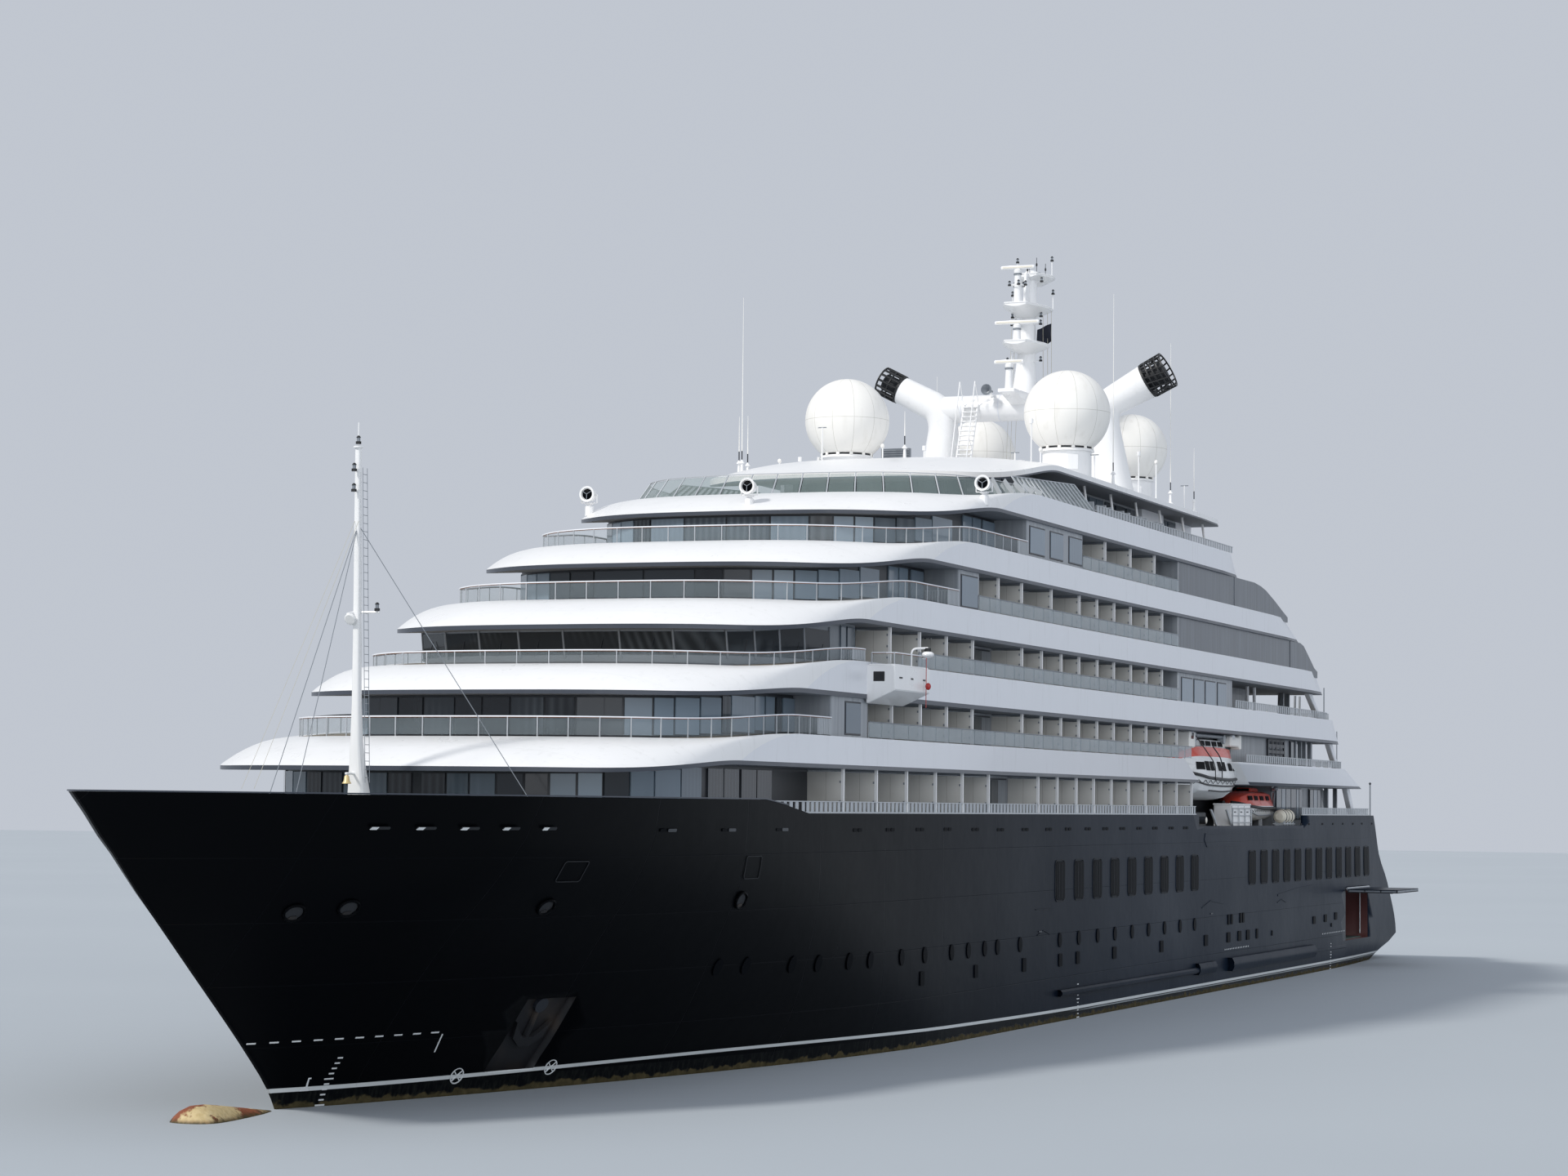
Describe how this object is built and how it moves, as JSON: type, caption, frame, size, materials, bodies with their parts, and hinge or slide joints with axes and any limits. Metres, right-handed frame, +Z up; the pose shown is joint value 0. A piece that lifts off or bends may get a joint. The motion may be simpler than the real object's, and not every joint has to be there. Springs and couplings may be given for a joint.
{
  "type": "expedition yacht, 1:10 scale model",
  "caption": "Expedition yacht with raked bow, stepped balcony decks, bridge, radomes, exhaust arch, masts, tenders, steering pods and turning radars; 1:10 scale model.",
  "frame": {"origin": "amidships on the centreline at the waterline, on an even keel", "axes": "+X to the bow, +Y to port, +Z up"},
  "size_m": [16.9, 2.67, 5.0869],
  "materials": {
    "hull_paint": "satin",
    "bronze": "satin",
    "window_glass": "gloss",
    "rail_glass": "gloss",
    "window_glass_dark": "gloss",
    "wall_paint": "satin",
    "black_paint": "satin",
    "radome_shell": "satin",
    "steel": "satin",
    "deck_paint": "matt",
    "boat_shell": "gloss",
    "raft_shell": "gloss",
    "white_paint": "gloss"
  },
  "bodies": {
    "ship": {"bridge_console": "black_paint", "bridge_wing_port": "white_paint", "bridge_wing_starboard": "white_paint", "bulwark_rail_port": "steel", "bulwark_rail_starboard": "steel", "deck_house_10": "window_glass_dark", "deck_house_5": "wall_paint", "deck_house_6": "wall_paint", "deck_house_7": "wall_paint", "deck_house_8": "wall_paint", "deck_house_9": "wall_paint", "deck_locker_port": "white_paint", "deck_locker_starboard": "white_paint", "deck_rail_10": "rail_glass", "deck_rail_6": "rail_glass", "deck_rail_7": "rail_glass", "deck_rail_8": "rail_glass", "deck_rail_9": "rail_glass", "deck_slab_10": "white_paint", "deck_slab_6": "white_paint", "deck_slab_7": "white_paint", "deck_slab_8": "white_paint", "deck_slab_9": "white_paint", "exhaust_arch": "white_paint", "exhaust_louvre_port": "black_paint", "exhaust_louvre_starboard": "black_paint", "foremast": "white_paint", "helideck": "deck_paint", "hull": "hull_paint", "life_rafts_port": "raft_shell", "life_rafts_starboard": "raft_shell", "radar_mast": "white_paint", "radome_aft_port": "radome_shell", "radome_aft_starboard": "radome_shell", "radome_forward_port": "radome_shell", "radome_forward_starboard": "radome_shell", "rescue_boat_port": "boat_shell", "rescue_boat_starboard": "boat_shell", "stern_rail_6": "rail_glass", "stern_rail_7": "rail_glass", "sun_roof": "white_paint", "tender_davits_port": "white_paint", "tender_davits_starboard": "white_paint", "tender_port": "boat_shell", "tender_starboard": "boat_shell", "wheelhouse": "white_paint", "wheelhouse_glass": "window_glass", "windlass_port": "steel", "windlass_starboard": "steel"},
    "pod_port": {"pod_port": "hull_paint"},
    "pod_starboard": {"pod_starboard": "hull_paint"},
    "propeller_port": {"propeller_port": "bronze"},
    "propeller_starboard": {"propeller_starboard": "bronze"},
    "radar_scanner_lower": {"radar_scanner_lower": "white_paint"},
    "radar_scanner_middle": {"radar_scanner_middle": "white_paint"},
    "radar_scanner_upper": {"radar_scanner_upper": "white_paint"},
    "shell_door_port": {"shell_door_port": "hull_paint"},
    "shell_door_starboard": {"shell_door_starboard": "hull_paint"}
  },
  "joints": [
    {"name": "pod_port_steer", "type": "hinge", "parent": "ship", "child": "pod_port", "pos_m": [-7.1, 0.46, -0.135], "axis": [0, 0, 1], "continuous": true},
    {"name": "propeller_port_spin", "type": "hinge", "parent": "pod_port", "child": "propeller_port", "pos_m": [-6.838, 0.46, -0.335], "axis": [1, 0, 0], "continuous": true},
    {"name": "pod_starboard_steer", "type": "hinge", "parent": "ship", "child": "pod_starboard", "pos_m": [-7.1, -0.46, -0.135], "axis": [0, 0, 1], "continuous": true},
    {"name": "propeller_starboard_spin", "type": "hinge", "parent": "pod_starboard", "child": "propeller_starboard", "pos_m": [-6.838, -0.46, -0.335], "axis": [1, 0, 0], "continuous": true},
    {"name": "radar_lower_turn", "type": "hinge", "parent": "ship", "child": "radar_scanner_lower", "pos_m": [-1.86, 0, 3.89], "axis": [0, 0, 1], "continuous": true},
    {"name": "radar_middle_turn", "type": "hinge", "parent": "ship", "child": "radar_scanner_middle", "pos_m": [-2.02, 0, 4.16], "axis": [0, 0, 1], "continuous": true},
    {"name": "radar_upper_turn", "type": "hinge", "parent": "ship", "child": "radar_scanner_upper", "pos_m": [-2.03, 0, 4.51], "axis": [0, 0, 1], "continuous": true},
    {"name": "shell_door_port_hinge", "type": "hinge", "parent": "ship", "child": "shell_door_port", "pos_m": [-7.15, 1.081, 0.575], "axis": [1, 0, 0], "range_deg": [-90, 0]},
    {"name": "shell_door_starboard_hinge", "type": "hinge", "parent": "ship", "child": "shell_door_starboard", "pos_m": [-7.15, -1.081, 0.575], "axis": [1, 0, 0], "range_deg": [-90, 0]}
  ]
}
